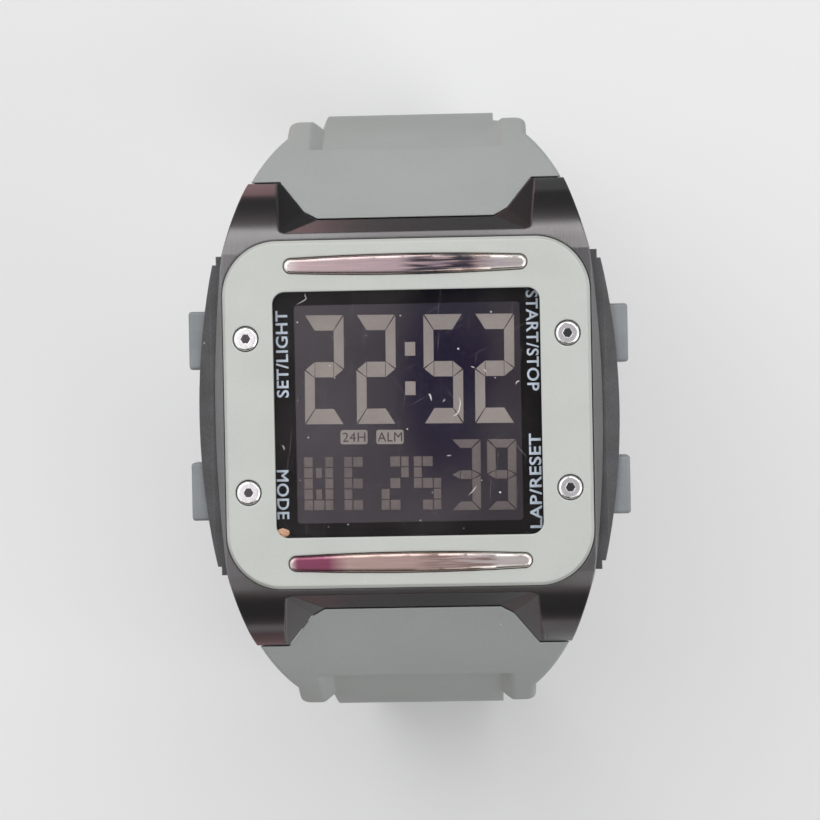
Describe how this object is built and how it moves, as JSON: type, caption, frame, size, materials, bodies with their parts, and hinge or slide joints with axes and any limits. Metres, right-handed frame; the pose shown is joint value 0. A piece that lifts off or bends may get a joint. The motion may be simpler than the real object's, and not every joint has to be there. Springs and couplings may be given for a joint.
{
  "type": "digital wristwatch",
  "caption": "Square digital wristwatch: plated case, screwed bezel, side pushers, grey moulded strap standing open, with pin buckle and keeper.",
  "frame": {"origin": "centre of the case back's outer face", "axes": "+Z out of the dial, +Y towards 12 o'clock, +X towards 3 o'clock"},
  "size_m": [0.0468, 0.074, 0.0753],
  "materials": {
    "plated_case": "gloss black plating",
    "guard_plastic": "fine-grained",
    "bezel_plastic": "satin",
    "polished_steel": "polished",
    "steel": "brushed",
    "lens_window": "clear",
    "seal_rubber": "matte",
    "mask_print": "matte",
    "lcd_glass": "dark",
    "film": "film",
    "clear_plastic": "clear",
    "led_body": "moulded",
    "zebra_rubber": "striped",
    "frame_plastic": "moulded",
    "board": "solder mask",
    "epoxy": "potting",
    "brass": "bright",
    "button_plastic": "satin",
    "strap_resin": "matte"
  },
  "bodies": {
    "watch_case": {"case_body": "plated_case", "right_side_guard": "guard_plastic", "left_side_guard": "guard_plastic", "bezel": "bezel_plastic", "upper_bezel_bar": "polished_steel", "lower_bezel_bar": "polished_steel", "bezel_screws": "polished_steel", "lens": "lens_window", "lens_gasket": "seal_rubber", "display_mask": "mask_print", "front_polarizer": "film", "lcd_cell": "lcd_glass", "rear_polarizer": "film", "light_guide": "clear_plastic", "backlight_led": "led_body", "upper_zebra_strip": "zebra_rubber", "lower_zebra_strip": "zebra_rubber", "module_frame": "frame_plastic", "circuit_board": "board", "processor_blob": "epoxy", "chip_components": "epoxy", "quartz_crystal": "steel", "battery": "steel", "battery_contact": "brass", "battery_clip": "steel", "module_cushion": "seal_rubber", "buzzer_disc": "brass", "buzzer_coil": "steel", "switch_contacts": "brass", "case_back": "steel", "case_back_gasket": "seal_rubber", "case_back_screws": "steel", "upper_spring_bar": "steel", "lower_spring_bar": "steel", "upper_spring_bar_pins": "steel", "lower_spring_bar_pins": "steel", "set_light_spring": "steel", "mode_spring": "steel", "start_stop_spring": "steel", "lap_reset_spring": "steel"},
    "set_light_pusher": {"set_light_button": "button_plastic", "set_light_seal": "seal_rubber", "set_light_retainer": "steel"},
    "mode_pusher": {"mode_button": "button_plastic", "mode_seal": "seal_rubber", "mode_retainer": "steel"},
    "start_stop_pusher": {"start_stop_button": "button_plastic", "start_stop_seal": "seal_rubber", "start_stop_retainer": "steel"},
    "lap_reset_pusher": {"lap_reset_button": "button_plastic", "lap_reset_seal": "seal_rubber", "lap_reset_retainer": "steel"},
    "buckle_strap": {"upper_strap": "strap_resin", "buckle_bar": "steel"},
    "hole_strap": {"lower_strap": "strap_resin"},
    "keeper": {"strap_keeper": "strap_resin"},
    "buckle": {"buckle_frame": "steel"},
    "tongue": {"buckle_tongue": "steel"}
  },
  "joints": [
    {"name": "set_light_press", "type": "slide", "parent": "watch_case", "child": "set_light_pusher", "axis": [1, 0, 0], "range_m": [0, 0.0008], "stiffness_N_per_m": 1500, "springref_m": -0.0006, "deforming": ["set_light_spring"]},
    {"name": "mode_press", "type": "slide", "parent": "watch_case", "child": "mode_pusher", "axis": [1, 0, 0], "range_m": [0, 0.0008], "stiffness_N_per_m": 1500, "springref_m": -0.0006, "deforming": ["mode_spring"]},
    {"name": "start_stop_press", "type": "slide", "parent": "watch_case", "child": "start_stop_pusher", "axis": [-1, 0, 0], "range_m": [0, 0.0008], "stiffness_N_per_m": 1500, "springref_m": -0.0006, "deforming": ["start_stop_spring"]},
    {"name": "lap_reset_press", "type": "slide", "parent": "watch_case", "child": "lap_reset_pusher", "axis": [-1, 0, 0], "range_m": [0, 0.0008], "stiffness_N_per_m": 1500, "springref_m": -0.0006, "deforming": ["lap_reset_spring"]},
    {"name": "buckle_strap_hinge", "type": "hinge", "parent": "watch_case", "child": "buckle_strap", "pos_m": [0, 0.0229, 0.0036], "axis": [1, 0, 0], "range_deg": [-15, 0]},
    {"name": "hole_strap_hinge", "type": "hinge", "parent": "watch_case", "child": "hole_strap", "pos_m": [0, -0.0229, 0.0036], "axis": [1, 0, 0], "range_deg": [0, 15]},
    {"name": "keeper_slide", "type": "slide", "parent": "buckle_strap", "child": "keeper", "axis": [0, 0, 1], "range_m": [0, 0.012]},
    {"name": "buckle_hinge", "type": "hinge", "parent": "buckle_strap", "child": "buckle", "pos_m": [0, 0.01811, -0.0602], "axis": [1, 0, 0], "range_deg": [-80, 0]},
    {"name": "tongue_hinge", "type": "hinge", "parent": "buckle", "child": "tongue", "pos_m": [0, 0.01811, -0.0602], "axis": [1, 0, 0], "range_deg": [0, 70]}
  ]
}
